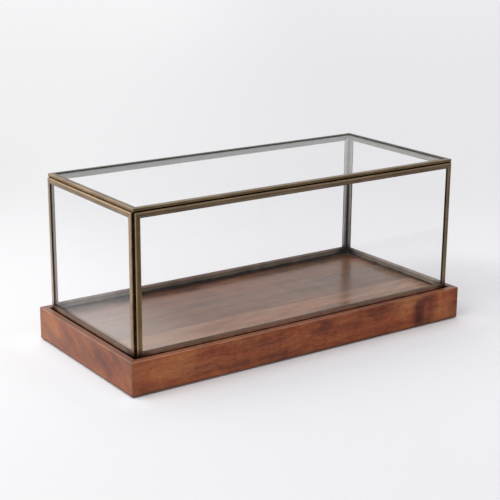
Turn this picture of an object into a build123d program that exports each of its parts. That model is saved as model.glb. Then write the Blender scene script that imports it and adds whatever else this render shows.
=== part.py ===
from build123d import *
import os

# Glass display case: a mitred wooden base and a lift-off glass cover edged in brass channel.
# Millimetres. X runs along the case, -Y is the front, +Z is up.
# Origin: centre of the footprint, on the surface that the foot pads stand on.

# ---- wooden base ----
base_length = 500.0
base_width = 235.0
pad_thickness = 1.5
pad_diameter = 16.0
pad_inset = 12.0               # pad centre to the outer faces
rail_height = 41.5
rail_thickness = 22.0
lip_thickness = 9.0            # upstanding lip round the cover
corner_radius = 1.5            # upright outer corners
arris_radius = 1.0             # eased outer top and bottom edges
lip_chamfer = 0.4              # inner top edge of the lip

# ---- display floor ----
recess_depth = 5.0             # lip top down to the floor surface
board_thickness = 10.0
board_count = 3
board_clearance = 0.4          # boards to the lip, room for the wood to move

# ---- battens ----
batten_thickness = 12.0
batten_width = 32.0
batten_spacing = 270.0         # centre to centre
batten_end_clearance = 0.5     # batten ends to the rails

# ---- screws ----
screw_length = 18.0
screw_diameter = 3.0
screw_head_diameter = 6.0
screw_head_depth = 1.8
screw_tip_length = 3.0
screw_tip_diameter = 0.6
screw_pocket_clearance = 0.75  # pocket wall to the screw head, all round
screw_line_inset = 15.5        # rail screws to the outer faces
long_rail_screws = 3
long_rail_screw_pitch = 180.0

# ---- mitre splines ----
spline_thickness = 3.0
spline_width = 14.0            # across the mitre
spline_height = 19.0
spline_rise = 3.0              # above the rail's underside
spline_corner_distance = 20.0  # from the outer corner, along the mitre
spline_end_clearance = 0.2

# ---- cover ----
cover_gap = 2.0                # cover to the lip, all round
strip_thickness = 1.2          # felt under the bottom channels
strip_inset = 0.4              # felt edge to the channel's faces
cover_height = 177.8           # bottom channels to the top of the top frame
channel_thickness = 3.2        # outside width of the U, across the glass
channel_face = 6.5             # depth of the U, seen as a band round each pane
bottom_face = 9.5              # deeper U along the bottom of the upright panes
channel_wall = 0.5
channel_bend = 0.5             # outside radius of the folded edges
glass_thickness = 2.0
glass_edge_clearance = 0.3     # pane edge to the web of the channel
top_inset = 1.8                # top frame set back from the side frames
seam_height = 1.6              # solder bead between the top frame and the side frames
seam_recess = 0.5              # bead set back from the top frame's outer face
seam_width = 1.6
corner_seam_recess = 1.0       # corner fillet set back from the outer faces
corner_seam_throat = 0.9       # its thickness on the diagonal, along each wall

same_place = 1e-4              # edges this close to a value lie on it

# ---- levels and places that follow ----
rail_bottom = pad_thickness
rail_top = rail_bottom + rail_height
floor_level = rail_top - recess_depth
board_bottom = floor_level - board_thickness
batten_bottom = board_bottom - batten_thickness
cover_bottom = floor_level + strip_thickness
cover_top = cover_bottom + cover_height
side_frame_top = cover_top - channel_thickness - seam_height
side_frame_height = side_frame_top - cover_bottom
cover_inset = lip_thickness + cover_gap
cover_length = base_length - 2 * cover_inset
cover_width = base_width - 2 * cover_inset
top_length = cover_length - 2 * top_inset
top_width = cover_width - 2 * top_inset
floor_length = base_length - 2 * (lip_thickness + board_clearance)
floor_width = base_width - 2 * (lip_thickness + board_clearance)
long_pane_length = cover_length - 2 * channel_thickness
short_pane_length = cover_width - 2 * channel_thickness

parts = {}


def block(x_low, x_high, y_low, y_high, z_low, z_high):
    """A box from its limits along the three axes."""
    centre = Pos((x_low + x_high) / 2, (y_low + y_high) / 2, (z_low + z_high) / 2)
    return centre * Box(x_high - x_low, y_high - y_low, z_high - z_low)


def centred_block(length, width, z_low, z_high):
    """A box centred on the Z axis."""
    return block(-length / 2, length / 2, -width / 2, width / 2, z_low, z_high)


def prism(points, height):
    """An upright prism on a closed outline, from z = 0."""
    return extrude(make_face(Polyline(*points, close=True)), height)


def mitred_quarters(length, width, depth_x, depth_y_low, depth_y_high, height):
    """Four prisms that cut a rectangular frame along its mitres.

    The depths are the frame's widths: both ends along X, and the low and high side along Y.
    """
    x_out, y_out = length / 2, width / 2
    x_in = x_out - depth_x
    y_low_in, y_high_in = depth_y_low - y_out, y_out - depth_y_high
    return {
        "low": prism([(-x_out, -y_out), (x_out, -y_out), (x_in, y_low_in), (-x_in, y_low_in)], height),
        "high": prism([(-x_out, y_out), (-x_in, y_high_in), (x_in, y_high_in), (x_out, y_out)], height),
        "left": prism([(-x_out, -y_out), (-x_in, y_low_in), (-x_in, y_high_in), (-x_out, y_out)], height),
        "right": prism([(x_out, -y_out), (x_out, y_out), (x_in, y_high_in), (x_in, y_low_in)], height),
    }


def edges_at(edges, axis, *values):
    """Those edges whose centre lies at one of the values along an axis."""
    def place(edge):
        centre = edge.center()
        return {"x": centre.X, "y": centre.Y, "z": centre.Z}[axis]
    return [edge for edge in edges if any(abs(place(edge) - value) < same_place for value in values)]


# ---- screws ----

def wood_screw():
    """Countersunk screw, its head's face at z = 0 and its point at z = screw_length."""
    head_r, shank_r = screw_head_diameter / 2, screw_diameter / 2
    profile = make_face(Polyline(
        (0, 0),
        (head_r, 0),
        (shank_r, screw_head_depth),
        (shank_r, screw_length - screw_tip_length),
        (screw_tip_diameter / 2, screw_length),
        (0, screw_length),
        close=True,
    ))
    return revolve(Plane.XZ * profile, Axis.Z)


rail_screw_places = [
    (index * long_rail_screw_pitch - (long_rail_screws - 1) * long_rail_screw_pitch / 2, side)
    for side in (screw_line_inset - base_width / 2, base_width / 2 - screw_line_inset)
    for index in range(long_rail_screws)
] + [
    (screw_line_inset - base_length / 2, 0.0),
    (base_length / 2 - screw_line_inset, 0.0),
]
board_width = floor_width / board_count
board_centres = [(index - (board_count - 1) / 2) * board_width for index in range(board_count)]
batten_places = [-batten_spacing / 2, batten_spacing / 2]
batten_screw_places = [(x, y) for x in batten_places for y in board_centres]


def screw_group(places):
    """One screw up into the boards at each place."""
    return [Pos(x, y, batten_bottom) * wood_screw() for x, y in places]


def screw_cuts(places):
    """The screws' own shapes, and the pockets that their heads go up through."""
    pocket_radius = screw_head_diameter / 2 + screw_pocket_clearance
    cuts = screw_group(places)
    pocket_depth = batten_bottom
    for x, y in places:
        cuts.append(Pos(x, y, pocket_depth / 2) * Cylinder(pocket_radius, pocket_depth))
    return cuts


parts["rail_screws"] = Compound(children=screw_group(rail_screw_places))
parts["batten_screws"] = Compound(children=screw_group(batten_screw_places))

# ---- base rails ----

def base_frame():
    """The four rails in one piece: eased outer edges, a rebate for the floor, hollow below it."""
    outside = centred_block(base_length, base_width, rail_bottom, rail_top)
    outside = fillet(outside.edges().filter_by(Axis.Z), corner_radius)
    outside = fillet(outside.faces().sort_by(Axis.Z)[-1].edges(), arris_radius)
    outside = fillet(outside.faces().sort_by(Axis.Z)[0].edges(), arris_radius)
    hollow = centred_block(
        base_length - 2 * rail_thickness, base_width - 2 * rail_thickness, rail_bottom, rail_top)
    rebate = centred_block(
        base_length - 2 * lip_thickness, base_width - 2 * lip_thickness, board_bottom, rail_top)
    frame = outside - hollow - rebate
    lip_x = base_length / 2 - lip_thickness
    lip_y = base_width / 2 - lip_thickness
    top_edges = edges_at(frame.edges(), "z", rail_top)
    lip_edges = edges_at(top_edges, "x", -lip_x, lip_x) + edges_at(top_edges, "y", -lip_y, lip_y)
    return chamfer(lip_edges, lip_chamfer)


def mitre_spline(side_x, side_y, clearance):
    """A loose tongue across the mitre at one corner."""
    reach = spline_corner_distance / 2 ** 0.5
    x = side_x * (base_length / 2 - reach)
    y = side_y * (base_width / 2 - reach)
    z_low = rail_bottom + spline_rise - clearance
    tongue = centred_block(
        spline_width + 2 * clearance, spline_thickness, z_low, z_low + spline_height + 2 * clearance)
    return Pos(x, y, 0) * Rot(0, 0, -45 * side_x * side_y) * tongue


corners = {
    "front_left": (-1, -1),
    "front_right": (1, -1),
    "back_left": (-1, 1),
    "back_right": (1, 1),
}
frame = base_frame()
for side_x, side_y in corners.values():
    frame -= mitre_spline(side_x, side_y, spline_end_clearance)
for cut in screw_cuts(rail_screw_places):
    frame -= cut
rail_quarters = mitred_quarters(
    base_length, base_width, rail_thickness, rail_thickness, rail_thickness, rail_top)
for name, quarter in (("front", "low"), ("back", "high"), ("left", "left"), ("right", "right")):
    parts[f"base_rail_{name}"] = frame & rail_quarters[quarter]
for name, (side_x, side_y) in corners.items():
    parts[f"mitre_spline_{name}"] = mitre_spline(side_x, side_y, 0.0)
    parts[f"foot_pad_{name}"] = Pos(
        side_x * (base_length / 2 - pad_inset),
        side_y * (base_width / 2 - pad_inset),
        pad_thickness / 2,
    ) * Cylinder(pad_diameter / 2, pad_thickness)

# ---- floor boards and battens ----

screw_holes = screw_cuts(rail_screw_places + batten_screw_places)
for name, y in zip(("front", "middle", "back"), board_centres):
    board = block(
        -floor_length / 2, floor_length / 2, y - board_width / 2, y + board_width / 2,
        board_bottom, floor_level)
    for hole in screw_holes:
        board -= hole
    parts[f"floor_board_{name}"] = board

batten_reach = base_width / 2 - rail_thickness - batten_end_clearance
for name, x in zip(("left", "right"), batten_places):
    batten = block(
        x - batten_width / 2, x + batten_width / 2, -batten_reach, batten_reach,
        batten_bottom, board_bottom)
    for hole in screw_group(batten_screw_places):
        batten -= hole
    parts[f"floor_batten_{name}"] = batten

# ---- framed panes ----

def channel_bar(length, face):
    """A straight U-channel along X, its folded web at y = 0 and its mouth facing +Y."""
    bar = block(-length / 2, length / 2, 0, face, 0, channel_thickness)
    bar = fillet(edges_at(bar.edges().filter_by(Axis.X), "y", 0), channel_bend)
    slot = block(
        -length / 2, length / 2, channel_wall, face, channel_wall, channel_thickness - channel_wall)
    return bar - slot


def framed_pane(width, height, low_face):
    """A pane and its four mitred channels, flat on z = 0, the bottom channel at low y."""
    bars = {
        "low": Pos(0, -height / 2) * channel_bar(width, low_face),
        "high": Pos(0, height / 2) * Rot(0, 0, 180) * channel_bar(width, channel_face),
        "left": Pos(-width / 2, 0) * Rot(0, 0, -90) * channel_bar(height, channel_face),
        "right": Pos(width / 2, 0) * Rot(0, 0, 90) * channel_bar(height, channel_face),
    }
    quarters = mitred_quarters(
        width, height, channel_face, low_face, channel_face, channel_thickness)
    pieces = {side: bar & quarters[side] for side, bar in bars.items()}
    edge = 2 * (channel_wall + glass_edge_clearance)
    middle = channel_thickness / 2
    pieces["glass"] = centred_block(
        width - edge, height - edge, middle - glass_thickness / 2, middle + glass_thickness / 2)
    return pieces


upright_names = {"low": "bottom", "high": "top", "left": "left", "right": "right"}
side_frame_middle = (cover_bottom + side_frame_top) / 2
upright_panes = {
    "front": (long_pane_length, 0, -cover_width / 2),
    "back": (long_pane_length, 180, -cover_width / 2),
    "left": (short_pane_length, -90, -cover_length / 2),
    "right": (short_pane_length, 90, -cover_length / 2),
}
for pane, (width, turn, outer_face) in upright_panes.items():
    place = Rot(0, 0, turn) * Pos(0, outer_face + channel_thickness, side_frame_middle) * Rot(90, 0, 0)
    for side, piece in framed_pane(width, side_frame_height, bottom_face).items():
        name = f"{pane}_glass" if side == "glass" else f"{pane}_channel_{upright_names[side]}"
        parts[name] = place * piece

top_names = {"low": "front", "high": "back", "left": "left", "right": "right"}
for side, piece in framed_pane(top_length, top_width, channel_face).items():
    name = "top_glass" if side == "glass" else f"top_channel_{top_names[side]}"
    parts[name] = Pos(0, 0, cover_top - channel_thickness) * piece

# ---- solder seams ----

def corner_fillet(side_x, side_y):
    """Solder in the notch between two upright frames, with a hollow outer face."""
    reach = channel_thickness - corner_seam_recess
    outline = make_face([
        Line((0, 0), (reach, 0)),
        ThreePointArc((reach, 0), (corner_seam_throat, corner_seam_throat), (0, reach)),
        Line((0, reach), (0, 0)),
    ])
    bead = extrude(outline, side_frame_height)
    turn = {(-1, -1): 180, (1, -1): -90, (1, 1): 0, (-1, 1): 90}[(side_x, side_y)]
    x = side_x * (cover_length / 2 - channel_thickness)
    y = side_y * (cover_width / 2 - channel_thickness)
    return Pos(x, y, cover_bottom) * Rot(0, 0, turn) * bead


for name, (side_x, side_y) in corners.items():
    parts[f"corner_seam_{name}"] = corner_fillet(side_x, side_y)

bead_length = top_length - 2 * seam_recess
bead_span = top_width - 2 * seam_recess
bead_ring = centred_block(bead_length, bead_span, side_frame_top, side_frame_top + seam_height)
bead_ring -= centred_block(
    bead_length - 2 * seam_width, bead_span - 2 * seam_width,
    side_frame_top, side_frame_top + seam_height)
bead_quarters = mitred_quarters(bead_length, bead_span, seam_width, seam_width, seam_width, cover_top)
for side, name in top_names.items():
    parts[f"top_seam_{name}"] = bead_ring & bead_quarters[side]

# ---- felt strips under the cover ----

strip_width = channel_thickness - 2 * strip_inset
long_strip = long_pane_length / 2
short_strip = short_pane_length / 2
strip_out_x = cover_length / 2 - strip_inset
strip_out_y = cover_width / 2 - strip_inset
strip_limits = {
    "front": (-long_strip, long_strip, -strip_out_y, strip_width - strip_out_y),
    "back": (-long_strip, long_strip, strip_out_y - strip_width, strip_out_y),
    "left": (-strip_out_x, strip_width - strip_out_x, -short_strip, short_strip),
    "right": (strip_out_x - strip_width, strip_out_x, -short_strip, short_strip),
}
for name, limits in strip_limits.items():
    parts[f"seat_strip_{name}"] = block(*limits, floor_level, cover_bottom)

# ---- one STEP file for each piece ----

os.makedirs("parts", exist_ok=True)
for name, shape in parts.items():
    export_step(shape, f"parts/{name}.step")
print(len(parts), "nodes")
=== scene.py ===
import math

import bpy
from mathutils import Matrix, Quaternion, Vector


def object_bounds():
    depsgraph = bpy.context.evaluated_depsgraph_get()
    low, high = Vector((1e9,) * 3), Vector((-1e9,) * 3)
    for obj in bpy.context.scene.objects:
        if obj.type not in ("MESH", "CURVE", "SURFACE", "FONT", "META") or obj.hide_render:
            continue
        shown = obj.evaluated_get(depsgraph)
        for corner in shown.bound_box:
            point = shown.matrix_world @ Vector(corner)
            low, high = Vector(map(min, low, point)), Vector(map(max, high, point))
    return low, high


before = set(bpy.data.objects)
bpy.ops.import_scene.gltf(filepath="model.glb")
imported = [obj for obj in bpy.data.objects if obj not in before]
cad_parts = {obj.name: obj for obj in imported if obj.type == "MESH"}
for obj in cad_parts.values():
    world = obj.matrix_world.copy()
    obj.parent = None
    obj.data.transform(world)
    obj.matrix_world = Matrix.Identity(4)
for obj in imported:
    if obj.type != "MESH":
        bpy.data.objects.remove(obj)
cad_low, cad_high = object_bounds()

# Display case: a reddish, figured wooden base and a glass cover edged in antique brass.
# Every piece is a CAD node with its own shape, and gets its material here.
# Metres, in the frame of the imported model. Colours are linear.

# ---- camera, at the photograph's viewing angle ----
camera_aim = Vector((-0.0056, 0.0032, 0.1065))
camera_azimuth = -34.86
camera_elevation = 16.33
camera_roll = 0.42
camera_distance = 1.6276
camera_lens = 91.12
camera_sensor = 36.0

# ---- light ----
backdrop_colour = (0.86, 0.86, 0.875)
sky_fill = 0.30
sky_key = 1.30
sky_key_direction = Vector((-0.80, 0.25, 0.55)).normalized()
sky_key_cosines = (-0.35, 0.95)         # to its direction, where the sky is all fill and all key
sky_back = 0.50                         # added behind the case
sky_back_direction = Vector((0.50, 0.85, 0.20)).normalized()
sky_back_cosines = (0.2, 0.9)
sky_mirror = 0.88                       # share of the sky that sharp reflections show
key_strength = 0.75
key_angle = 45.0
key_from = Vector((-0.80, 0.30, 0.90))

# ---- floor ----
# Distances are from the middle of the case: rightward and away as the camera looks, and forward out of
# the case's front and a little to the right.
floor_size = 30.0
floor_rightward = (0.82, -0.57, 0.0)
floor_away = (0.57, 0.82, 0.0)
floor_forward = (0.35, -0.94, 0.0)
floor_left_colour = (0.812, 0.812, 0.824)
floor_right_colour = (0.742, 0.737, 0.760)
floor_colour_turn = (-0.5, 0.3)         # rightward, from the left colour to the right one
# Shades: from one distance away to another, and what is added at each.
floor_shades = (
    (0.0, 0.9, 1.06, 0.925),            # a little darker behind the case
    (1.6, 4.5, 0.0, 0.035),             # lighter again far off
    (-0.55, -0.18, -0.055, 0.0),        # darker nearest the camera
)
floor_side_shade = (-0.72, -0.36, -0.100, 0.0)      # rightward: darker left of the photograph's frame
floor_side_fade = (0.5, 1.5, 1.0, 0.0)              # which ends far away
floor_horizon_colour = (0.743, 0.743, 0.760)        # looks like the backdrop once it is lit
floor_horizon = (5.0, 9.0)
floor_dusk = 0.90                       # share of its brightness left just to the right of the case
floor_dusk_middle = (0.38, 0.0, 0.0)
floor_dusk_reach = (0.032, 0.16)
# Glows: the floor is paler beside the front and the left side, so that the case's shadow there is as
# light as the photograph's. Axis out of the case, its edge on that axis, axis along the edge, where the
# glow begins and ends along it, and how much paler the floor is.
floor_glows = (
    ("Y", cad_low[1], "X", (-0.27, -0.21), (0.25, 0.31), (1.20, 1.19, 1.18)),
    ("X", cad_low[0], "Y", (-0.16, -0.12), (0.10, 0.16), (1.07, 1.11, 1.13)),
)
floor_glow_reach = 0.058
floor_glow_under = 0.02                 # it fades out this far under the case
# In reflections the floor is dark in front of the case, and glass also mirrors a paler part on its left.
floor_gloss_colour = (0.30, 0.30, 0.30)             # in brass and wood
floor_mirror_colour = (0.36, 0.36, 0.36)            # in glass
floor_mirror_front = (-0.10, 0.25)                  # forward, where the dark part begins
floor_mirror_left = (0.20, 0.30)                    # to the left, where the paler part begins
floor_mirror_left_grey = (0.34, 0.62, 1.00, 0.50)   # and its greys at two distances


class Nodes:
    """Adds nodes to one material's or world's tree. An input is a plain value or an output to link."""

    def __init__(self, tree):
        self.tree = tree
        tree.nodes.clear()

    def add(self, kind, settings=None, inputs=None):
        node = self.tree.nodes.new("ShaderNode" + kind)
        for name, value in (settings or {}).items():
            setattr(node, name, value)
        for name, value in (inputs or {}).items():
            self.feed(node.inputs[name], value)
        return node

    def feed(self, socket, value):
        if isinstance(value, bpy.types.NodeSocket):
            self.tree.links.new(value, socket)
        elif isinstance(value, tuple) and len(value) == 3 and socket.type == "RGBA":
            socket.default_value = (*value, 1.0)
        else:
            socket.default_value = value

    def place(self):
        """A point's place on the case at rest. It rides with the cover."""
        return self.add("TexCoord").outputs["Object"]

    def facing(self):
        return self.add("NewGeometry").outputs["True Normal"]

    def axes(self, vector):
        return self.add("SeparateXYZ", {}, {0: vector}).outputs

    def maths(self, operation, a, b=0.0):
        return self.add("Math", {"operation": operation}, {0: a, 1: b}).outputs[0]

    def vector(self, operation, a, b=(0.0, 0.0, 0.0)):
        node = self.add("VectorMath", {"operation": operation}, {0: a})
        if operation == "SCALE":
            self.feed(node.inputs["Scale"], b)
        else:
            self.feed(node.inputs[1], b)
        return node.outputs["Value" if operation in ("LENGTH", "DOT_PRODUCT", "DISTANCE") else "Vector"]

    def noise(self, vector, scale, detail, roughness, distortion=0.0, colour=False):
        node = self.add("TexNoise", {}, {
            "Vector": vector, "Scale": scale, "Detail": detail,
            "Roughness": roughness, "Distortion": distortion})
        return node.outputs["Color" if colour else "Fac"]

    def stretched(self, vector, scales, detail, roughness, distortion=0.0):
        """Noise with a scale of its own along each axis."""
        return self.noise(self.vector("MULTIPLY", vector, scales), 1.0, detail, roughness, distortion)

    def stirred(self, vector, reach, scale, detail, roughness):
        """The vector moved about by noise, by up to half the reach along each axis."""
        stir = self.noise(vector, scale, detail, roughness, colour=True)
        stir = self.vector("SUBTRACT", stir, (0.5, 0.5, 0.5))
        return self.vector("ADD", vector, self.vector("SCALE", stir, reach))

    def span(self, value, low, high, to_low=0.0, to_high=1.0):
        """The value carried smoothly from one range to another, held at its ends."""
        return self.add("MapRange", {"interpolation_type": "SMOOTHSTEP"}, {
            "Value": value, "From Min": low, "From Max": high,
            "To Min": to_low, "To Max": to_high}).outputs["Result"]

    def blend(self, share, a, b, mode="MIX"):
        node = self.add("Mix", {"data_type": "RGBA", "blend_type": mode}, {0: share})
        self.feed(node.inputs[6], a)
        self.feed(node.inputs[7], b)
        return node.outputs[2]

    def ramp(self, value, *stops):
        node = self.add("ValToRGB", {}, {"Fac": value})
        elements = node.color_ramp.elements
        while len(elements) < len(stops):
            elements.new(0.5)
        for element, (place, colour) in zip(elements, stops):
            element.position = place
            element.color = (*colour, 1.0)
        return node.outputs["Color"]

    def bump(self, height, strength, distance):
        return self.add("Bump", {}, {
            "Height": height, "Strength": strength, "Distance": distance}).outputs["Normal"]

    def pick(self, share, a, b):
        """Shader a, and shader b in place of it by that share."""
        return self.add("MixShader", {}, {0: share, 1: a, 2: b}).outputs[0]

    def finish(self, shader):
        self.add("OutputMaterial", {}, {"Surface": shader})

    def surface(self, inputs):
        """Ends the tree with a principled shader."""
        self.finish(self.add("BsdfPrincipled", {}, inputs).outputs[0])


def new_material(name):
    material = bpy.data.materials.new(name)
    material.use_nodes = True
    return material, Nodes(material.node_tree)


noise_range = (0.3, 0.7)                # most of a noise lies between these
edge_normals = (0.995, 0.90)            # largest part of a normal, on a flat face and well round an edge


def eased_edge(nodes):
    """1 on the rounded edges of a square-set piece, 0 on its flat faces."""
    axes = nodes.axes(nodes.vector("ABSOLUTE", nodes.facing()))
    flat = nodes.maths("MAXIMUM", nodes.maths("MAXIMUM", axes["X"], axes["Y"]), axes["Z"])
    return nodes.span(flat, *edge_normals)


# ---- wood ----

rail_tones = (
    (0.10, (0.080, 0.019, 0.012)),
    (0.34, (0.190, 0.047, 0.022)),
    (0.52, (0.310, 0.087, 0.032)),
    (0.70, (0.425, 0.140, 0.048)),
    (0.92, (0.550, 0.220, 0.088)),
)
board_tones = (
    (0.05, (0.045, 0.016, 0.008)),
    (0.25, (0.130, 0.056, 0.030)),
    (0.50, (0.222, 0.102, 0.055)),
    (0.85, (0.350, 0.182, 0.100)),
)
hue_tints = (
    (0.32, (1.10, 0.94, 0.82)),
    (0.68, (0.93, 1.04, 1.10)),
)
# Noise in the wood: scales along and across the grain, detail, roughness, distortion.
streak_noise = ((9.0, 75.0, 75.0), 5.0, 0.55, 0.4)
cloud_noise = ((13.0, 30.0, 30.0), 3.0, 0.5)
curl_noise = ((95.0, 22.0, 30.0), 2.0, 0.5, 0.8)
fleck_noise = ((110.0, 520.0, 520.0), 2.0, 0.6)
hue_noise = ((16.0, 60.0, 60.0), 3.0, 0.6, 0.6)
fibre_noise = ((45.0, 1500.0, 1500.0), 3.0, 0.6)
pore_noise = ((170.0, 2600.0, 2600.0), 1.0, 0.5)
grain_stir = (9.0, 3.0, 0.55)           # scale, detail and roughness of what warps the grain
noise_gain = 2.1                        # what a noise's swing counts for in the tone
pith = (0.0, 0.09, -0.12)               # middle of the growth rings, in the grain's own space
ring_stretch = (0.12, 1.0, 1.0)         # rings are long ovals that run with the grain
ring_scale = 210.0                      # per metre from the pith
ring_detail = 3.0
ring_roughness = 0.6
fibre_colour = (0.035, 0.012, 0.008)
fibre_share = 0.22
pore_colour = (0.020, 0.008, 0.006)
pore_share = 0.55
pore_edge = (0.66, 0.74)
fibre_height = 0.35                     # a pore's depth is 1
wood_bump = 0.25
wood_relief = 0.0002                    # metres
wood_shine = 0.32
wood_index = 1.5
roughness_swing = (-0.04, 0.06)
patch_wander = (0.022, 38.0, 2.0, 0.6)  # metres, then the noise's scale, detail and roughness
patch_edge = (0.2, 1.0)                 # shares of a patch's size between which it fades out

# Colours on the rails: glue, wear, and painted light and shade.
# Each change has its colour and share, and the metres between which it comes or goes.
key_end_places = (-0.10, 0.24)        # along X: painted light and wear are stronger toward the left end
# Painted light and shade on the rail tops: darker at the right end, lighter at the left.
painted_top_colours = ((0.095, 0.040, 0.025), (0.230, 0.112, 0.075))      # on top, at the right and the left
painted_top_share = 0.42
painted_top_normals = (0.8, 0.95)             # upward part of the normal
worn_highlight_colour = (0.60, 0.33, 0.22)        # edges: wear and painted highlight
worn_highlight_shares = (0.22, 0.58)
worn_highlight_share_right = 0.3                  # of that at the right end
worn_highlight_heights = (0.003, 0.008)
# Painted shade along the foot of each rail.
foot_shade_colour = (0.100, 0.036, 0.024)
foot_shade_share = 0.6
foot_shade_heights = (0.0020, 0.0060)
glue_colour = (0.030, 0.010, 0.006)
glue_share = 0.75
glue_distances = (0.0003, 0.0009)
mitre_offset = cad_high[0] - cad_high[1]            # X less Y along the mitres

# The boards: a painted reflection of the sky pales their left end, and their right end is greyed.
painted_haze_colour = (0.75, 0.73, 0.70)
painted_haze_places = (-0.22, -0.08)
grey_tint = (0.86, 0.99, 1.08)
grey_places = (0.02, 0.14)

# Turn that lays the X axis of the grain along an axis of the case: degrees and the axis to turn about.
grain_turns = {"X": (0.0, "Z"), "Y": (-90.0, "Z"), "Z": (90.0, "Y")}


def grain_space(nodes, along, tilt, shift):
    """Object space, turned so that its X runs with the grain and shifted to wood of its own."""
    degrees, axis = grain_turns[along]
    turn = Matrix.Rotation(math.radians(tilt), 3, "Y") @ Matrix.Rotation(math.radians(degrees), 3, axis)
    return nodes.add("Mapping", {"vector_type": "POINT"}, {
        "Vector": nodes.place(), "Rotation": turn.to_euler(), "Location": shift}).outputs["Vector"]


def wood_tone(nodes, bent, mix, contrast):
    """The wood's tone, 0.5 at its middle, and the streaks and clouds in it."""
    streaks = nodes.stretched(bent, *streak_noise)
    off_pith = nodes.vector("MULTIPLY", nodes.vector("SUBTRACT", bent, pith), ring_stretch)
    radius = nodes.vector("LENGTH", off_pith)
    rings = nodes.add("TexNoise", {"noise_dimensions": "1D"}, {
        "W": nodes.maths("MULTIPLY", radius, ring_scale), "Scale": 1.0,
        "Detail": ring_detail, "Roughness": ring_roughness}).outputs["Fac"]
    clouds = nodes.stretched(bent, *cloud_noise)
    curl = nodes.stretched(bent, *curl_noise)
    flecks = nodes.stretched(bent, *fleck_noise)
    tone = 0.5
    for part, share in zip((streaks, rings, clouds, curl, flecks), mix):
        swing = nodes.maths("SUBTRACT", part, 0.5)
        tone = nodes.maths("ADD", tone, nodes.maths("MULTIPLY", swing, noise_gain * contrast * share))
    return tone, streaks, clouds


def figured(nodes, tone, figure):
    """The tone with patches added to it: each is its middle, its size and its change of tone."""
    place = nodes.stirred(nodes.place(), *patch_wander)
    for middle, size, change in figure:
        off = nodes.vector("DIVIDE", nodes.vector("SUBTRACT", place, middle), size)
        patch = nodes.span(nodes.vector("LENGTH", off), *patch_edge, change, 0.0)
        tone = nodes.maths("ADD", tone, patch)
    return tone


def rail_wear_and_light(nodes, colour, clouds):
    """A rail's colour: painted light and shade on its top, and lighter along its edges, partly
    from wear and partly painted highlight, both more so at the left end of the case; painted
    shade at its foot, and glue along its mitres."""
    place = nodes.place()
    at = nodes.axes(place)
    key_end = nodes.span(at["X"], *key_end_places, 1.0, 0.0)
    painted_top = nodes.blend(key_end, *painted_top_colours)
    up = nodes.axes(nodes.facing())["Z"]
    colour = nodes.blend(nodes.span(up, *painted_top_normals, 0.0, painted_top_share), colour, painted_top)
    worn_highlight = nodes.maths("MULTIPLY", eased_edge(nodes), nodes.span(clouds, *noise_range, *worn_highlight_shares))
    worn_highlight = nodes.maths("MULTIPLY", worn_highlight, nodes.span(key_end, 0.0, 1.0, worn_highlight_share_right, 1.0))
    worn_highlight = nodes.maths("MULTIPLY", worn_highlight, nodes.span(at["Z"], *worn_highlight_heights))
    colour = nodes.blend(worn_highlight, colour, worn_highlight_colour)
    colour = nodes.blend(nodes.span(at["Z"], *foot_shade_heights, foot_shade_share, 0.0), colour, foot_shade_colour)
    out = nodes.axes(nodes.vector("ABSOLUTE", place))
    off_mitre = nodes.maths("SUBTRACT", nodes.maths("SUBTRACT", out["X"], out["Y"]), mitre_offset)
    glue = nodes.span(nodes.maths("ABSOLUTE", off_mitre), *glue_distances, glue_share, 0.0)
    return nodes.blend(glue, colour, glue_colour)


def board_end_tones(nodes, colour, painted_haze):
    """A board's colour, paled by that share at its left end as a painted reflection, and greyed at its
    right.
    """
    along_case = nodes.axes(nodes.place())["X"]
    colour = nodes.blend(nodes.span(along_case, *painted_haze_places, painted_haze, 0.0), colour, painted_haze_colour)
    greyed = nodes.vector("MULTIPLY", colour, grey_tint)
    return nodes.blend(nodes.span(along_case, *grey_places), colour, greyed)


def wood(name, tones, along="X", tilt=0.0, shift=(0, 0, 0), warp=0.010, contrast=1.0,
         mix=(0.42, 0.20, 0.28, 0.10, 0.0), figure=(), hue_change=1.0, tint=(1.0, 1.0, 1.0),
         roughness=0.34, relief=1.0, rail=False, painted_haze=0.0):
    """Figured, oiled hardwood. mix gives the shares of its streaks, rings, clouds, curl and flecks."""
    material, nodes = new_material(name)
    grain = grain_space(nodes, along, tilt, shift)
    bent = nodes.stirred(grain, 2 * warp, *grain_stir)
    tone, streaks, clouds = wood_tone(nodes, bent, mix, contrast)
    tone = figured(nodes, tone, figure)
    hue = nodes.ramp(nodes.stretched(bent, *hue_noise), *hue_tints)
    colour = nodes.blend(hue_change, nodes.ramp(tone, *tones), hue, "MULTIPLY")
    fibres = nodes.stretched(bent, *fibre_noise)
    pore = nodes.span(nodes.stretched(grain, *pore_noise), *pore_edge)
    fibre = nodes.span(fibres, *noise_range, 0.0, fibre_share * relief)
    colour = nodes.blend(fibre, colour, fibre_colour)
    colour = nodes.blend(nodes.maths("MULTIPLY", pore, pore_share * relief), colour, pore_colour)
    if rail:
        colour = rail_wear_and_light(nodes, colour, clouds)
    colour = nodes.blend(1.0, colour, tint, "MULTIPLY")
    if painted_haze:
        colour = board_end_tones(nodes, colour, painted_haze)
    smooth, rough = [roughness + swing for swing in roughness_swing]
    height = nodes.maths("SUBTRACT", nodes.maths("MULTIPLY", fibres, fibre_height), pore)
    nodes.surface({
        "Base Color": colour, "IOR": wood_index, "Specular IOR Level": wood_shine,
        "Roughness": nodes.span(streaks, *noise_range, smooth, rough),
        "Normal": nodes.bump(height, wood_bump * relief, wood_relief)})
    return material


# ---- brass ----


def extent(name, axis):
    """The least and the largest distance of a node along an axis, from the case's middle or the table."""
    distances = [abs(vertex.co["XYZ".index(axis)]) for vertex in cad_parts[name].data.vertices]
    return min(distances), max(distances)


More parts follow.
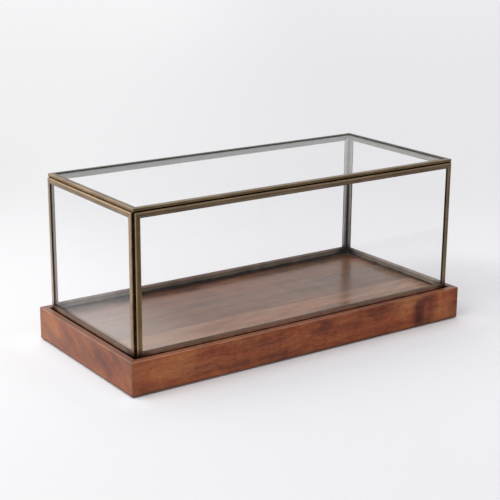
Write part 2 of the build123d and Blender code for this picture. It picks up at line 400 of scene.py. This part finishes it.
# The brass is black round the feet of the cover's corners.
tarnish_middle = (
    extent("front_channel_right", "X")[1],
    extent("left_channel_left", "Y")[1],
    extent("front_channel_bottom", "Z")[0],
)
tarnish_reach = (0.027, 0.027, 0.017)
tarnish_edge = (0.30, 1.0)
tarnish_share = 0.92
tarnish_colour = (0.012, 0.010, 0.006)

# Drawing lines run along the bar. Noise: scale, detail, roughness, distortion.
drawn_noise = {
    "X": ((9.0, 600.0, 600.0), 3.0, 0.6),
    "Y": ((600.0, 9.0, 600.0), 3.0, 0.6),
    "Z": ((600.0, 600.0, 9.0), 3.0, 0.6),
}
drawn_share = 0.6                       # of the tone's change; the rest is patina
drawn_bump = (0.12, 0.0001)             # strength, and metres
patina_noise = (45.0, 5.0, 0.6, 0.3)
patina_wander = 0.25                    # how far it moves the bands across the bar
speck_noise = (700.0, 3.0, 0.6)
speck_edge = (0.62, 0.72)
speck_share = 0.6
speck_colour = (0.060, 0.038, 0.020)
# Edges rubbed bright: partly real wear, partly painted highlight.
polish_highlight_colour = (0.560, 0.430, 0.270)
polish_highlight_range = (0.35, 0.65)
polish_highlight_shares = (0.35, 0.85)
brass_change = (0.65, 1.35)             # darkest and lightest share of a band's tone
brass_roughness = (0.46, 0.34)
inward_facing = -0.02                   # normal times place is below this on a face that looks inward

# Bands of tone across a channel, from its outer edge (0) to its inner edge (1). Their light lines are
# painted highlights and their dark lines painted shade. In the foot bands the black below 0.4 is a painted
# shadow in the gap above the base, and the pink above it a painted reflection of the wood.
near_left_bands = (
    (0.00, (0.060, 0.040, 0.022)),
    (0.16, (0.100, 0.065, 0.036)),
    (0.32, (0.420, 0.285, 0.180)),
    (0.75, (0.370, 0.255, 0.165)),
    (1.00, (0.330, 0.240, 0.165)),
)
near_front_bands = (
    (0.00, (0.500, 0.360, 0.200)),
    (0.16, (0.560, 0.400, 0.230)),
    (0.34, (0.290, 0.170, 0.065)),
    (0.78, (0.310, 0.195, 0.090)),
    (1.00, (0.400, 0.300, 0.210)),
)
right_front_bands = (
    (0.00, (0.340, 0.240, 0.150)),
    (0.35, (0.340, 0.235, 0.145)),
    (0.80, (0.400, 0.290, 0.190)),
    (0.92, (0.250, 0.170, 0.110)),
    (1.00, (0.100, 0.070, 0.045)),
)
left_back_bands = (
    (0.00, (0.420, 0.330, 0.240)),
    (0.40, (0.460, 0.340, 0.240)),
    (0.78, (0.360, 0.270, 0.190)),
    (0.90, (0.090, 0.065, 0.045)),
    (1.00, (0.020, 0.014, 0.010)),
)
head_bands = (
    (0.00, (0.420, 0.290, 0.180)),
    (0.12, (0.560, 0.410, 0.270)),
    (0.34, (0.270, 0.175, 0.105)),
    (0.80, (0.330, 0.245, 0.175)),
    (1.00, (0.230, 0.180, 0.135)),
)
foot_bands = (
    (0.00, (0.015, 0.008, 0.005)),
    (0.39, (0.012, 0.006, 0.004)),
    (0.44, (0.600, 0.440, 0.345)),
    (0.60, (0.510, 0.380, 0.300)),
    (0.80, (0.420, 0.315, 0.255)),
    (1.00, (0.335, 0.255, 0.200)),
)
lid_bands = (
    (0.00, (0.330, 0.225, 0.125)),
    (0.07, (0.420, 0.300, 0.180)),
    (0.20, (0.240, 0.172, 0.108)),
    (1.00, (0.190, 0.140, 0.095)),
)
# The same bands on the faces turned to the inside of the case, seen through the glass: painted shade near
# the corners, and painted light where they are pale.
upright_inside = (
    (0.00, (0.140, 0.125, 0.110)),
    (0.14, (0.160, 0.145, 0.130)),
    (0.30, (0.270, 0.250, 0.225)),
    (0.60, (0.420, 0.395, 0.360)),
    (1.00, (0.650, 0.630, 0.600)),
)
left_back_inside = (
    (0.00, (0.800, 0.730, 0.680)),
    (0.12, (0.900, 0.820, 0.760)),
    (0.50, (0.820, 0.760, 0.710)),
    (1.00, (0.480, 0.460, 0.440)),
)
right_back_inside = (
    (0.00, (0.150, 0.135, 0.115)),
    (0.14, (0.220, 0.200, 0.175)),
    (0.30, (0.450, 0.425, 0.385)),
    (0.60, (0.900, 0.870, 0.830)),
    (1.00, (0.950, 0.930, 0.900)),
)
dark_inside = (
    (0.00, (0.040, 0.032, 0.025)),
    (1.00, (0.012, 0.009, 0.006)),
)
head_inside = (
    (0.00, (0.040, 0.034, 0.020)),
    (0.12, (0.040, 0.034, 0.020)),
    (0.35, (0.105, 0.092, 0.050)),
    (1.00, (0.105, 0.095, 0.058)),
)
foot_inside = (
    (0.00, (0.026, 0.018, 0.012)),
    (0.12, (0.026, 0.018, 0.012)),
    (0.20, (0.420, 0.420, 0.350)),
    (0.58, (0.500, 0.520, 0.450)),
    (0.66, (0.380, 0.370, 0.330)),
    (0.78, (0.860, 0.820, 0.790)),
    (1.00, (0.980, 0.940, 0.930)),
)
right_foot_inside = (
    (0.00, (0.030, 0.020, 0.014)),
    (0.12, (0.030, 0.020, 0.014)),
    (0.22, (0.400, 0.350, 0.290)),
    (0.56, (0.440, 0.400, 0.345)),
    (0.66, (0.340, 0.300, 0.255)),
    (0.80, (0.640, 0.600, 0.560)),
    (1.00, (0.850, 0.820, 0.800)),
)


def turned_inward(nodes, place):
    """1 on the faces that look into the case, 0 on the others."""
    outward = nodes.axes(nodes.vector("MULTIPLY", nodes.facing(), place))
    return nodes.maths("LESS_THAN", nodes.maths("MINIMUM", outward["X"], outward["Y"]), inward_facing)


def tarnish(nodes, place, wander):
    """How much of the brass is black with age, all of it near the foot of a corner."""
    off_foot = nodes.vector("SUBTRACT", nodes.vector("ABSOLUTE", place), tarnish_middle)
    off_foot = nodes.vector("LENGTH", nodes.vector("DIVIDE", off_foot, tarnish_reach))
    return nodes.span(nodes.maths("ADD", off_foot, wander), *tarnish_edge, tarnish_share, 0.0)


def brass(name, along, across, outer, inner, bands, inside, painted_brightness=1.0):
    """Antique brass channel, drawn out along the bar. Its tone runs in bands across it, from its outer
    edge to its inner one, with other bands inside the case; the bands carry painted highlights and shade.
    Its last argument makes lighter or darker copies of it, as painted light and shade."""
    material, nodes = new_material(name)
    place = nodes.place()
    across_place = nodes.axes(nodes.vector("ABSOLUTE", place))[across]
    share = nodes.add("MapRange", {}, {
        "Value": across_place, "From Min": outer, "From Max": inner}).outputs[0]
    drawn = nodes.stretched(place, *drawn_noise[along])
    patina = nodes.noise(place, *patina_noise)
    specks = nodes.noise(place, *speck_noise)
    tone = nodes.maths("ADD", nodes.maths("MULTIPLY", drawn, drawn_share),
                       nodes.maths("MULTIPLY", patina, 1.0 - drawn_share))
    wander = nodes.maths("MULTIPLY", nodes.maths("SUBTRACT", patina, 0.5), patina_wander)
    share = nodes.maths("ADD", share, wander)
    inward = turned_inward(nodes, place)
    colour = nodes.blend(inward, nodes.ramp(share, *bands), nodes.ramp(share, *inside))
    dark, light = [change * painted_brightness for change in brass_change]
    colour = nodes.vector("SCALE", colour, nodes.span(tone, *noise_range, dark, light))
    colour = nodes.blend(nodes.span(specks, *speck_edge, 0.0, speck_share), colour, speck_colour)
    polish_highlight = nodes.span(patina, *polish_highlight_range, *polish_highlight_shares)
    polish_highlight = nodes.maths("MULTIPLY", eased_edge(nodes), polish_highlight)
    colour = nodes.blend(polish_highlight, colour, tuple(part * painted_brightness for part in polish_highlight_colour))
    colour = nodes.blend(tarnish(nodes, place, wander), colour, tarnish_colour)
    nodes.surface({
        "Base Color": colour, "Metallic": 1.0,
        "Roughness": nodes.span(tone, *noise_range, *brass_roughness),
        "Normal": nodes.bump(drawn, *drawn_bump)})
    return material


# ---- solder, screws, felt and glass ----

# Bumps are a strength and metres.
ripple_noise = (260.0, 3.0, 0.5, 0.5)
solder_roughness = (0.60, 0.48)
solder_bump = (0.5, 0.0003)
dark_solder_tones = (
    (0.35, (0.008, 0.004, 0.002)),
    (0.70, (0.040, 0.022, 0.010)),
)
brown_solder_tones = (
    (0.35, (0.050, 0.030, 0.015)),
    (0.70, (0.160, 0.105, 0.060)),
)
scratch_noise = ((300.0, 2400.0, 300.0), 3.0, 0.6)
screw_roughness = (0.40, 0.24)
screw_bump = (0.2, 0.0001)
screw_tones = (
    (0.3, (0.42, 0.28, 0.11)),
    (0.7, (0.66, 0.47, 0.20)),
)
felt_noise = (900.0, 5.0, 0.7, 1.2)
felt_roughness = (0.95, 0.8)
felt_bump = (0.8, 0.0004)
felt_sheen = 0.4
# The seat strips' black is partly painted shade, for the gap under the cover.
seat_felt_and_shade_tones = (
    (0.3, (0.010, 0.009, 0.008)),
    (0.7, (0.040, 0.034, 0.030)),
)
pad_felt_tones = (
    (0.3, (0.030, 0.020, 0.015)),
    (0.7, (0.090, 0.062, 0.045)),
)
glass_tint = (0.992, 0.993, 0.996)
glass_index = 1.25                      # low, because the photograph's panes mirror very little
glass_passed = (0.920, 0.924, 0.930)    # what soft light keeps on its way through


def solder(name, tones):
    """Darkened solder, slightly rippled."""
    material, nodes = new_material(name)
    ripples = nodes.noise(nodes.place(), *ripple_noise)
    nodes.surface({
        "Base Color": nodes.ramp(ripples, *tones), "Metallic": 1.0,
        "Roughness": nodes.span(ripples, *noise_range, *solder_roughness),
        "Normal": nodes.bump(ripples, *solder_bump)})
    return material


def screw_brass(name):
    """Bright brass, turned on the head and scratched by the driver."""
    material, nodes = new_material(name)
    scratches = nodes.stretched(nodes.place(), *scratch_noise)
    nodes.surface({
        "Base Color": nodes.ramp(scratches, *screw_tones), "Metallic": 1.0,
        "Roughness": nodes.span(scratches, *noise_range, *screw_roughness),
        "Normal": nodes.bump(scratches, *screw_bump)})
    return material


def felt(name, tones):
    """Pressed felt: matted fibres with a soft sheen."""
    material, nodes = new_material(name)
    fibres = nodes.noise(nodes.place(), *felt_noise)
    nodes.surface({
        "Base Color": nodes.ramp(fibres, *tones), "Sheen Weight": felt_sheen,
        "Roughness": nodes.span(fibres, *noise_range, *felt_roughness),
        "Normal": nodes.bump(fibres, *felt_bump)})
    return material


def glass(name):
    """Clear float glass. Lamps and soft reflections pass straight through it."""
    material, nodes = new_material(name)
    clear = nodes.add("BsdfPrincipled", {}, {
        "Base Color": glass_tint, "Roughness": 0.0, "IOR": glass_index,
        "Transmission Weight": 1.0}).outputs[0]
    open_air = nodes.add("BsdfTransparent", {}, {"Color": glass_passed}).outputs[0]
    path = nodes.add("LightPath").outputs
    blurred = nodes.pick(path["Is Singular Ray"], open_air, clear)
    surface = nodes.pick(path["Is Glossy Ray"], clear, blurred)
    surface = nodes.pick(path["Is Diffuse Ray"], surface, open_air)
    nodes.finish(nodes.pick(path["Is Shadow Ray"], surface, open_air))
    return material


# ---- dress the CAD nodes ----


def dress(material, *names):
    for name in names:
        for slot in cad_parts[name].material_slots:
            slot.material = material


def named(text):
    return [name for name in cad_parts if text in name]


# The figure of the wood: middle, size and change of tone of each darker or lighter patch.
front_figure = (
    ((0.179, -0.1175, 0.020), (0.010, 0.030, 0.034), -0.24),
    ((0.187, -0.1175, 0.020), (0.030, 0.030, 0.050), -0.22),
    ((0.190, -0.1175, 0.040), (0.016, 0.030, 0.014), -0.10),
    ((0.207, -0.1175, 0.028), (0.016, 0.030, 0.024), -0.08),
    ((0.225, -0.1175, 0.020), (0.030, 0.030, 0.030), 0.18),
    ((0.158, -0.1175, 0.028), (0.020, 0.030, 0.018), 0.14),
    ((0.110, -0.1175, 0.030), (0.018, 0.030, 0.010), -0.16),
    ((0.025, -0.1175, 0.032), (0.030, 0.030, 0.010), -0.20),
    ((-0.100, -0.1175, 0.022), (0.025, 0.030, 0.020), -0.10),
    ((-0.200, -0.1175, 0.024), (0.070, 0.030, 0.024), 0.14),
)
left_figure = (
    ((-0.250, 0.085, 0.030), (0.030, 0.050, 0.022), 0.16),
    ((-0.250, -0.060, 0.026), (0.030, 0.060, 0.020), -0.12),
    ((-0.250, 0.000, 0.004), (0.030, 0.120, 0.005), 0.12),
)
# Painted light and shade on the boards: lighter at the left end, a painted reflection of the sky, and
# darker under the back edge of the cover, a painted shadow.
board_light_and_shade = (
    ((-0.250, 0.000, 0.038), (0.170, 0.180, 0.060), 0.18),
    ((0.000, 0.118, 0.038), (1.000, 0.052, 0.080), -0.42),
)
# The right rail's darker tint is painted shade.
rail_looks = {
    "front": dict(along="X", tilt=3.0, shift=(0.31, 0.05, 0.02), warp=0.014, tint=(1.03, 1.0, 0.98),
                  mix=(0.32, 0.12, 0.36, 0.12, 0.20), figure=front_figure),
    "back": dict(along="X", tilt=-4.0, shift=(1.42, 0.22, 0.07), warp=0.018),
    "left": dict(along="Y", tilt=30.0, shift=(2.13, 0.11, 0.03), warp=0.008, tint=(0.87, 0.95, 0.98),
                 contrast=0.75, mix=(0.36, 0.10, 0.30, 0.08, 0.22), figure=left_figure),
    "right": dict(along="Y", tilt=-12.0, shift=(3.37, 0.17, 0.05), warp=0.018, tint=(0.70, 0.68, 0.72)),
}
board_look = dict(warp=0.003, contrast=0.82, mix=(0.44, 0.20, 0.16, 0.02, 0.18), figure=board_light_and_shade,
                  hue_change=0.45, roughness=0.20, relief=0.0, painted_haze=0.22)
board_looks = {
    "front": dict(tint=(1.34, 1.32, 1.34), shift=(4.1, 0.02, 0.01)),
    "middle": dict(tint=(0.80, 0.81, 0.84), shift=(5.3, 0.09, 0.04)),
    "back": dict(tint=(0.88, 0.74, 0.66), shift=(6.6, 0.05, 0.02)),
}
batten_look = dict(along="Y", shift=(7.2, 0.1, 0.1), tint=(1.3, 1.3, 1.3), roughness=0.6)
spline_look = dict(along="Z", shift=(8.3, 0.1, 0.1), roughness=0.6)


def dress_base():
    for side, look in rail_looks.items():
        dress(wood(f"rail_wood_{side}", rail_tones, rail=True, **look), f"base_rail_{side}")
    for side, look in board_looks.items():
        dress(wood(f"floor_wood_{side}", board_tones, **board_look, **look), f"floor_board_{side}")
    dress(wood("batten_wood", board_tones, **batten_look), *named("floor_batten"))
    dress(wood("spline_wood", board_tones, **spline_look), *named("mitre_spline"))
    dress(screw_brass("screw_brass"), *named("_screws"))
    dress(felt("pad_felt", pad_felt_tones), *named("foot_pad"))


# Uprights whose bands or inside differ from the others'. Left and right are as seen from outside each pane.
upright_bands = {
    "left_channel_right": near_left_bands,
    "front_channel_right": right_front_bands,
    "left_channel_left": left_back_bands,
}
upright_insides = {
    "back_channel_left": right_back_inside,
    "back_channel_right": left_back_inside,
    "left_channel_left": dark_inside,
    "front_channel_right": dark_inside,
}
front_foot_painted_light = 1.2                  # painted light: lighter than the bands
lid_near_painted_shade = 0.9                    # painted shade: darker; the far lid bars darker still
lid_far_painted_shade = 0.35
# Near pane, far pane, axis along both and axis from one to the other.
pane_pairs = (
    ("front", "back", "X", "Y"),
    ("left", "right", "Y", "X"),
)


def dress_uprights(near, far, along):
    inner, outer = extent(f"{near}_channel_right", along)
    for side in (near, far):
        for end in ("left", "right"):
            name = f"{side}_channel_{end}"
            bands = upright_bands.get(name, near_front_bands)
            inside = upright_insides.get(name, upright_inside)
            dress(brass(f"{name}_brass", "Z", along, outer, inner, bands, inside), name)


def dress_heads(near, far, along):
    low, high = extent(f"{near}_channel_top", "Z")
    head = brass(f"head_brass_{near}", along, "Z", high, low, head_bands, head_inside)
    dress(head, f"{near}_channel_top", f"{far}_channel_top")


def dress_feet(near, far, along):
    low, high = extent(f"{near}_channel_bottom", "Z")
    for side in (near, far):
        inside = right_foot_inside if side == "right" else foot_inside
        painted_brightness = front_foot_painted_light if side == "front" else 1.0
        foot = brass(f"foot_brass_{side}", along, "Z", low, high, foot_bands, inside, painted_brightness)
        dress(foot, f"{side}_channel_bottom")


def dress_lid(near, far, along, across):
    inner, outer = extent(f"top_channel_{near}", across)
    for side, painted_brightness in ((near, lid_near_painted_shade), (far, lid_far_painted_shade)):
        lid = brass(f"lid_brass_{side}", along, across, outer, inner, lid_bands, head_inside, painted_brightness)
        dress(lid, f"top_channel_{side}")


def dress_cover():
    for near, far, along, across in pane_pairs:
        dress_uprights(near, far, along)
        dress_heads(near, far, along)
        dress_feet(near, far, along)
        dress_lid(near, far, along, across)
    dress(solder("dark_solder", dark_solder_tones), *named("_seam_"))
    dress(solder("brown_solder", brown_solder_tones), "top_seam_left")
    dress(glass("clear_glass"), *named("_glass"))
    dress(felt("seat_felt", seat_felt_and_shade_tones), *named("seat_strip"))


# ---- studio ----


def floor_shade(nodes, across, away):
    """The floor's brightness, before the horizon, dusk and glows."""
    shade = 0.0
    for change in floor_shades:
        shade = nodes.maths("ADD", shade, nodes.span(away, *change))
    side = nodes.maths(
        "MULTIPLY", nodes.span(across, *floor_side_shade), nodes.span(away, *floor_side_fade))
    return nodes.maths("ADD", shade, side)


def floor_glow(nodes, at, colour, out, edge, beside, begin, end, glow):
    """The floor's colour, paler just outside one edge of the case."""
    gap = nodes.maths("SUBTRACT", edge, at[out])
    share = nodes.maths("MULTIPLY", nodes.span(gap, 0.0, floor_glow_reach, 1.0, 0.0),
                        nodes.span(gap, -floor_glow_under, 0.0))
    share = nodes.maths("MULTIPLY", share, nodes.span(at[beside], *begin))
    share = nodes.maths("MULTIPLY", share, nodes.span(at[beside], *end, 1.0, 0.0))
    return nodes.blend(share, colour, nodes.vector("MULTIPLY", colour, glow))


def floor_mirrored(nodes, place, at, colour):
    """The floor's colour, changed in reflections: glass mirrors it sharply, brass and wood softly."""
    path = nodes.add("LightPath").outputs
    reflected = nodes.maths("GREATER_THAN", path["Glossy Depth"], 0.5)
    front = nodes.span(nodes.vector("DOT_PRODUCT", place, floor_forward), *floor_mirror_front)
    left = nodes.maths("MULTIPLY", at["X"], -1.0)
    on_left = nodes.span(left, *floor_mirror_left)
    mirrored = nodes.blend(on_left, floor_mirror_colour, nodes.span(left, *floor_mirror_left_grey))
    sharp = nodes.maths("MULTIPLY", reflected, path["Is Singular Ray"])
    soft = nodes.maths("SUBTRACT", reflected, sharp)
    colour = nodes.blend(nodes.maths("MULTIPLY", soft, front), colour, floor_gloss_colour)
    beside = nodes.maths("MAXIMUM", front, on_left)
    return nodes.blend(nodes.maths("MULTIPLY", sharp, beside), colour, mirrored)


def floor_paint():
    """A pale, matt floor that is shaded towards the horizon, and dusky to the right of the case."""
    material, nodes = new_material("studio_floor")
    place = nodes.place()
    at = nodes.axes(place)
    across = nodes.vector("DOT_PRODUCT", place, floor_rightward)
    away = nodes.vector("DOT_PRODUCT", place, floor_away)
    colour = nodes.blend(nodes.span(across, *floor_colour_turn), floor_left_colour, floor_right_colour)
    colour = nodes.vector("SCALE", colour, floor_shade(nodes, across, away))
    far_out = nodes.span(nodes.vector("LENGTH", place), *floor_horizon)
    colour = nodes.blend(far_out, colour, floor_horizon_colour)
    off_dusk = nodes.vector("DISTANCE", place, floor_dusk_middle)
    colour = nodes.vector("SCALE", colour, nodes.span(off_dusk, *floor_dusk_reach, floor_dusk, 1.0))
    for glow in floor_glows:
        colour = floor_glow(nodes, at, colour, *glow)
    colour = floor_mirrored(nodes, place, at, colour)
    shader = nodes.add("BsdfDiffuse", {}, {"Color": colour})
    nodes.finish(shader.outputs[0])
    return material


def studio_floor():
    half = floor_size / 2
    corners = [(-half, -half, 0), (half, -half, 0), (half, half, 0), (-half, half, 0)]
    mesh = bpy.data.meshes.new("studio_floor")
    mesh.from_pydata(corners, [], [(0, 1, 2, 3)])
    mesh.materials.append(floor_paint())
    floor = bpy.data.objects.new("studio_floor", mesh)
    bpy.context.scene.collection.objects.link(floor)


def studio_sky():
    """A soft sky, bright on the key side and behind the case. The camera sees a plain backdrop."""
    world = bpy.data.worlds.new("studio")
    world.use_nodes = True
    bpy.context.scene.world = world
    nodes = Nodes(world.node_tree)
    direction = nodes.add("TexCoord").outputs["Generated"]
    to_key = nodes.vector("DOT_PRODUCT", direction, tuple(sky_key_direction))
    to_back = nodes.vector("DOT_PRODUCT", direction, tuple(sky_back_direction))
    strength = nodes.maths("ADD", nodes.span(to_key, *sky_key_cosines, sky_fill, sky_key),
                           nodes.span(to_back, *sky_back_cosines, 0.0, sky_back))
    path = nodes.add("LightPath").outputs
    mirrored = nodes.span(path["Is Singular Ray"], 0.0, 1.0, 1.0, sky_mirror)
    strength = nodes.maths("MULTIPLY", strength, mirrored)
    sky = nodes.add("Background", {}, {"Color": (1.0, 1.0, 1.0), "Strength": strength})
    seen = nodes.add("Background", {}, {"Color": backdrop_colour, "Strength": 1.0})
    straight = nodes.maths("MAXIMUM", path["Is Camera Ray"], path["Is Transmission Ray"])
    shown = nodes.pick(straight, sky.outputs[0], seen.outputs[0])
    nodes.add("OutputWorld", {}, {"Surface": shown})


def studio_lamp():
    """One broad lamp for the soft shadow."""
    lamp = bpy.data.lights.new("key", "SUN")
    lamp.energy = key_strength
    lamp.angle = math.radians(key_angle)
    key = bpy.data.objects.new("key", lamp)
    key.rotation_mode = "QUATERNION"
    key.rotation_quaternion = key_from.to_track_quat("Z", "Y")
    bpy.context.scene.collection.objects.link(key)


def studio_camera():
    azimuth, elevation = math.radians(camera_azimuth), math.radians(camera_elevation)
    back = Vector((
        math.sin(azimuth) * math.cos(elevation),
        -math.cos(azimuth) * math.cos(elevation),
        math.sin(elevation)))
    lens = bpy.data.cameras.new("camera")
    lens.lens = camera_lens
    lens.sensor_width = camera_sensor
    camera = bpy.data.objects.new("camera", lens)
    camera.location = camera_aim + back * camera_distance
    camera.rotation_mode = "QUATERNION"
    roll = Quaternion(back, math.radians(camera_roll))
    camera.rotation_quaternion = roll @ (-back).to_track_quat("-Z", "Y")
    bpy.context.scene.collection.objects.link(camera)
    bpy.context.scene.camera = camera


dress_base()
dress_cover()
studio_floor()
studio_sky()
studio_lamp()
studio_camera()
bpy.context.scene.view_settings.view_transform = "Standard"
